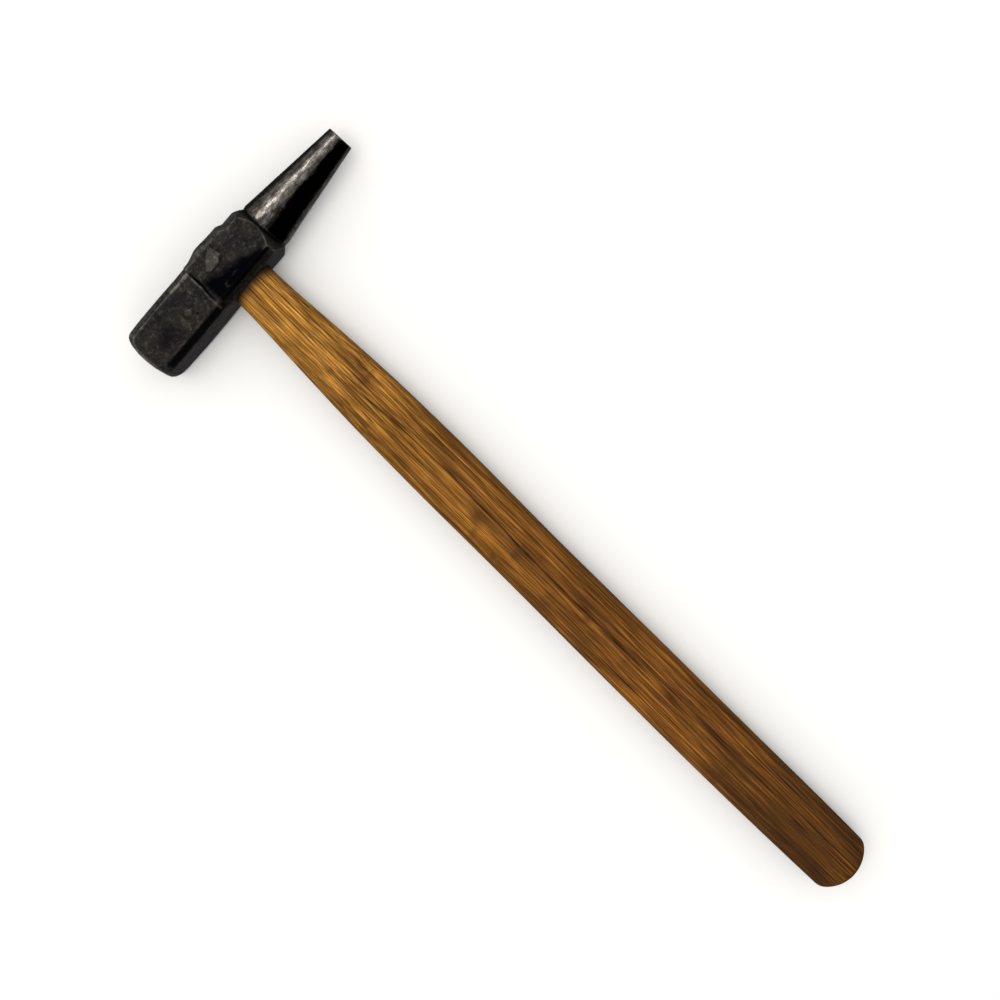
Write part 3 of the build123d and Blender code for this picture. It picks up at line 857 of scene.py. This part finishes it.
grain_colour = add(
    tree, "ValToRGB", {"Fac": grain_share},
    stops=[(0.0, (0.22, 0.16, 0.1, 1)), (0.5, (1, 1, 1, 1)), (1.0, (1.75, 1.75, 1.75, 1))],
).outputs[0]
colour = add(
    tree, "Mix", {0: 1.0, 6: colour, 7: grain_colour}, data_type="RGBA", blend_type="MULTIPLY"
).outputs[2]
smudged = add(tree, "Attribute", attribute_name="smudge").outputs["Fac"]
smudged = add(tree, "Math", {0: smudged, 1: 0.8}, operation="MULTIPLY").outputs[0]
colour = add(tree, "Mix", {0: smudged, 6: colour, 7: linear("4a2f0c")}, data_type="RGBA").outputs[2]
# The last millimetres before the head are painted near black as the shadow under the head, and the cut ends
# show their pores.
near_head = add(
    tree, "MapRange", {"Value": along_y, 1: 166.0, 2: 173.0, 4: 0.97}, interpolation_type="SMOOTHSTEP"
).outputs[0]
tenon_end = add(tree, "MapRange", {"Value": along_y, 1: 196.0, 2: 197.5}).outputs[0]
in_shadow = add(tree, "Math", {0: near_head, 1: tenon_end}, operation="SUBTRACT", use_clamp=True).outputs[0]
colour = add(tree, "Mix", {0: in_shadow, 6: colour, 7: linear("170c05")}, data_type="RGBA").outputs[2]
end_coords = add(tree, "Mapping", {"Vector": in_mm, "Scale": (1.6, 0.05, 1.6)}).outputs[0]
end_pores = add(
    tree, "TexNoise", {"Vector": end_coords, "Scale": 1.0, "Detail": 4.0, "Roughness": 0.7}
).outputs["Fac"]
end_grain = add(
    tree, "ValToRGB", {"Fac": end_pores},
    stops=[(0.38, linear("21150a")), (0.5, linear("52381d")), (0.62, linear("735430"))],
).outputs[0]
# Dark end grain at the butt, also painted shade along its rim.
butt_end_grain_and_shade = add(tree, "Attribute", attribute_name="butt_end_grain_and_shade").outputs["Fac"]
butt_end_grain_and_shade = add(tree, "Math", {0: butt_end_grain_and_shade, 1: 0.7}, operation="MULTIPLY").outputs[0]
cut_ends = add(tree, "Math", {0: tenon_end, 1: butt_end_grain_and_shade}, operation="MAXIMUM").outputs[0]
late_rings = add(tree, "Math", {0: early, 1: 0.5}, operation="MULTIPLY").outputs[0]
end_grain = add(tree, "Mix", {0: late_rings, 6: end_grain, 7: linear("2b1a0c")}, data_type="RGBA").outputs[2]
colour = add(tree, "Mix", {0: cut_ends, 6: colour, 7: end_grain}, data_type="RGBA").outputs[2]
tree.links.new(colour, shader.inputs["Base Color"])
rough = add(tree, "MapRange", {"Value": fibre, 1: 0.3, 2: 0.7, 3: 0.46, 4: 0.6}).outputs[0]
tree.links.new(rough, shader.inputs["Roughness"])
shader.inputs["Specular IOR Level"].default_value = 0.12
height = add(tree, "Math", {0: pore, 1: -1.0, 2: fibre}, operation="MULTIPLY_ADD").outputs[0]
bump = add(tree, "Bump", {"Height": height, "Strength": 0.5, "Distance": 0.00012}).outputs[0]
tree.links.new(bump, shader.inputs["Normal"])
handle.data.materials.append(ash)
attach(handle, "root")
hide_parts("handle")

# ---------------------------------------------------------------------------------------------
# The wedges: a hardwood one driven into the tenon's saw kerf along the eye, and two small ones
# of mild steel driven across it, all hammered flush with the head's top.
# ---------------------------------------------------------------------------------------------
def solid_copy(name):
    """A closed copy of a CAD node's mesh, its corners joined and its faces turned outwards."""
    mesh = frame["nodes"][name].data.copy()
    shell = bmesh.new()
    shell.from_mesh(mesh)
    bmesh.ops.remove_doubles(shell, verts=shell.verts, dist=1e-7)
    bmesh.ops.recalc_face_normals(shell, faces=shell.faces)
    shell.to_mesh(mesh)
    shell.free()
    copy = bpy.data.objects.new(name + "_room", mesh)
    scene.collection.objects.link(copy)
    return copy


# Sawn beech, dry and dull: its cut end drank old oil, and is speckled brown by its pores.
beech, tree, shader = new_material("beech_sawn_end_grain")
coords = add(tree, "TexCoord").outputs["Object"]
in_mm = add(tree, "Mapping", {"Vector": coords, "Scale": (1000, 60, 1000)}).outputs[0]
ends = add(tree, "TexNoise", {"Vector": in_mm, "Scale": 2.2, "Detail": 3.0}).outputs["Fac"]
colour = add(
    tree, "ValToRGB", {"Fac": ends},
    stops=[(0.36, linear("33210f")), (0.5, linear("6b4a28")), (0.64, linear("8d6a40"))],
).outputs[0]
tree.links.new(colour, shader.inputs["Base Color"])
shader.inputs["Roughness"].default_value = 0.7
bump = add(tree, "Bump", {"Height": ends, "Strength": 0.5, "Distance": 0.0001}).outputs[0]
tree.links.new(bump, shader.inputs["Normal"])

# Mild steel cropped from bar and hammered home: shallow dents that catch light, rust brown between.
mild_steel, tree, shader = new_material("mild_steel_cropped_hammered")
coords = add(tree, "TexCoord").outputs["Object"]
in_mm = add(tree, "Mapping", {"Vector": coords, "Scale": (1000, 1000, 1000)}).outputs[0]
dents = add(tree, "TexNoise", {"Vector": in_mm, "Scale": 0.9, "Detail": 4.0, "Roughness": 0.6}).outputs["Fac"]
colour = add(
    tree, "ValToRGB", {"Fac": dents},
    stops=[(0.36, linear("3d332b")), (0.5, linear("6f675f")), (0.64, linear("a09a92"))],
).outputs[0]
tree.links.new(colour, shader.inputs["Base Color"])
rough = add(tree, "MapRange", {"Value": dents, 1: 0.35, 2: 0.65, 3: 0.5, 4: 0.3}).outputs[0]
tree.links.new(rough, shader.inputs["Roughness"])
shader.inputs["Metallic"].default_value = 1.0
bump = add(tree, "Bump", {"Height": dents, "Strength": 0.6, "Distance": 0.0003}).outputs[0]
tree.links.new(bump, shader.inputs["Normal"])

for name, finish in (("wooden_wedge", beech), ("steel_wedge_1", mild_steel), ("steel_wedge_2", mild_steel)):
    cut_away(handle, solid_copy(name))
    node = frame["nodes"][name]
    node.data.materials.clear()
    node.data.materials.append(finish)
shade(handle, 40)
